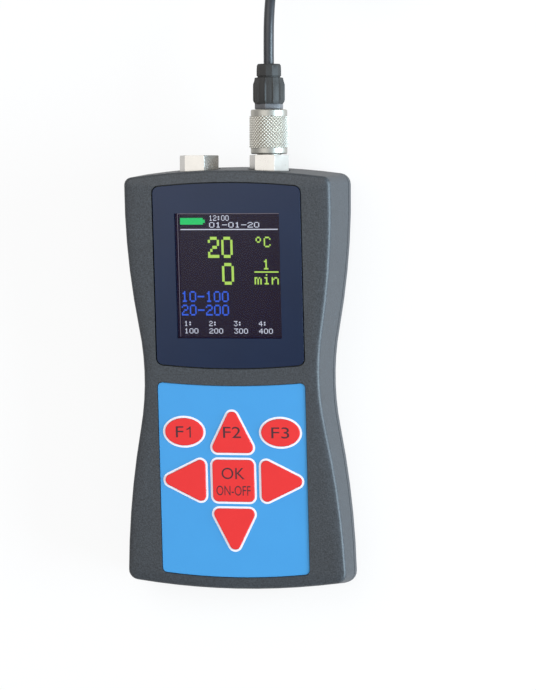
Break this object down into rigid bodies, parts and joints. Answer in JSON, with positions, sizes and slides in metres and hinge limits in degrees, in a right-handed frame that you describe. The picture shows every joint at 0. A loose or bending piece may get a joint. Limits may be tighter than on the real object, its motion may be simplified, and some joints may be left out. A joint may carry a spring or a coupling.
{
  "type": "handheld vibration meter",
  "caption": "Handheld vibration meter with a waisted wedge housing, colour display, blue keypad with red keys and a cabled plug in one of its end sockets.",
  "frame": {"origin": "on the resting plane under the middle of the meter's bounding box, cable pieces left out", "axes": "+Y along the housing towards the sockets, +Z out of the display side, +X to the right seen from the front"},
  "size_m": [0.1036, 0.241, 0.0263],
  "materials": {
    "shell_plastic": "fine texture",
    "back_plastic": "fine texture",
    "door_plastic": "fine texture",
    "seal_rubber": "matte",
    "steel_screw": "satin",
    "window_glass": "gloss",
    "gasket_foam": "matte",
    "black_plastic": "satin",
    "lcd_panel": "gloss",
    "backlight_white": "satin",
    "blue_overlay": "satin",
    "red_key": "satin",
    "dome_steel": "satin",
    "board_green": "satin",
    "link_plastic": "satin",
    "chip_black": "matte",
    "nickel": "satin",
    "nickel_knurl": "knurled",
    "insulator": "satin",
    "gold_pins": "polished",
    "cell_jacket": "satin",
    "spring_steel": "satin",
    "grey_neck": "satin",
    "black_collar": "satin",
    "cable_rubber": "satin",
    "tie_nylon": "satin"
  },
  "bodies": {
    "meter": {"front_shell": "shell_plastic", "back_shell": "back_plastic", "shell_seal": "seal_rubber", "housing_screws": "steel_screw", "display_window": "window_glass", "window_gasket": "gasket_foam", "display_frame": "black_plastic", "display_panel": "lcd_panel", "display_backlight": "backlight_white", "keypad_overlay": "blue_overlay", "snap_domes": "dome_steel", "keypad_board": "board_green", "main_board": "board_green", "board_link": "link_plastic", "board_chips": "chip_black", "board_screws": "steel_screw", "service_socket": "nickel", "service_block": "insulator", "sensor_socket": "nickel", "sensor_block": "insulator", "contact_pins": "gold_pins", "socket_nuts": "nickel", "battery_tray": "black_plastic", "battery_cells": "cell_jacket", "battery_plates": "spring_steel", "battery_springs": "spring_steel", "plug_core": "insulator", "plug_pins": "gold_pins", "plug_neck": "grey_neck", "clamp_collar": "black_collar", "cable": "cable_rubber", "cable_coil": "cable_rubber", "cable_tail": "cable_rubber", "cable_tie": "tie_nylon", "end_plug_body": "black_collar", "end_plug_ring": "nickel_knurl"},
    "key_f1_body": {"key_f1": "red_key"},
    "key_up_body": {"key_up": "red_key"},
    "key_f3_body": {"key_f3": "red_key"},
    "key_left_body": {"key_left": "red_key"},
    "key_ok_body": {"key_ok": "red_key"},
    "key_right_body": {"key_right": "red_key"},
    "key_down_body": {"key_down": "red_key"},
    "coupling_ring_body": {"coupling_ring": "nickel_knurl"},
    "battery_door_body": {"battery_door": "door_plastic"}
  },
  "joints": [
    {"name": "key_f1_press", "type": "slide", "parent": "meter", "child": "key_f1_body", "axis": [0, 0.0848, -0.9964], "range_m": [0, 0.0003], "stiffness_N_per_m": 2000},
    {"name": "key_up_press", "type": "slide", "parent": "meter", "child": "key_up_body", "axis": [0, 0.0848, -0.9964], "range_m": [0, 0.0003], "stiffness_N_per_m": 2000},
    {"name": "key_f3_press", "type": "slide", "parent": "meter", "child": "key_f3_body", "axis": [0, 0.0848, -0.9964], "range_m": [0, 0.0003], "stiffness_N_per_m": 2000},
    {"name": "key_left_press", "type": "slide", "parent": "meter", "child": "key_left_body", "axis": [0, 0.0848, -0.9964], "range_m": [0, 0.0003], "stiffness_N_per_m": 2000},
    {"name": "key_ok_press", "type": "slide", "parent": "meter", "child": "key_ok_body", "axis": [0, 0.0848, -0.9964], "range_m": [0, 0.0003], "stiffness_N_per_m": 2000},
    {"name": "key_right_press", "type": "slide", "parent": "meter", "child": "key_right_body", "axis": [0, 0.0848, -0.9964], "range_m": [0, 0.0003], "stiffness_N_per_m": 2000},
    {"name": "key_down_press", "type": "slide", "parent": "meter", "child": "key_down_body", "axis": [0, 0.0848, -0.9964], "range_m": [0, 0.0003], "stiffness_N_per_m": 2000},
    {"name": "coupling_ring_turn", "type": "hinge", "parent": "meter", "child": "coupling_ring_body", "pos_m": [0.01065, 0.06416, 0.0165], "axis": [0, 1, 0], "continuous": true},
    {"name": "battery_door_slide", "type": "slide", "parent": "meter", "child": "battery_door_body", "axis": [0, -1, 0], "range_m": [0, 0.06]}
  ]
}
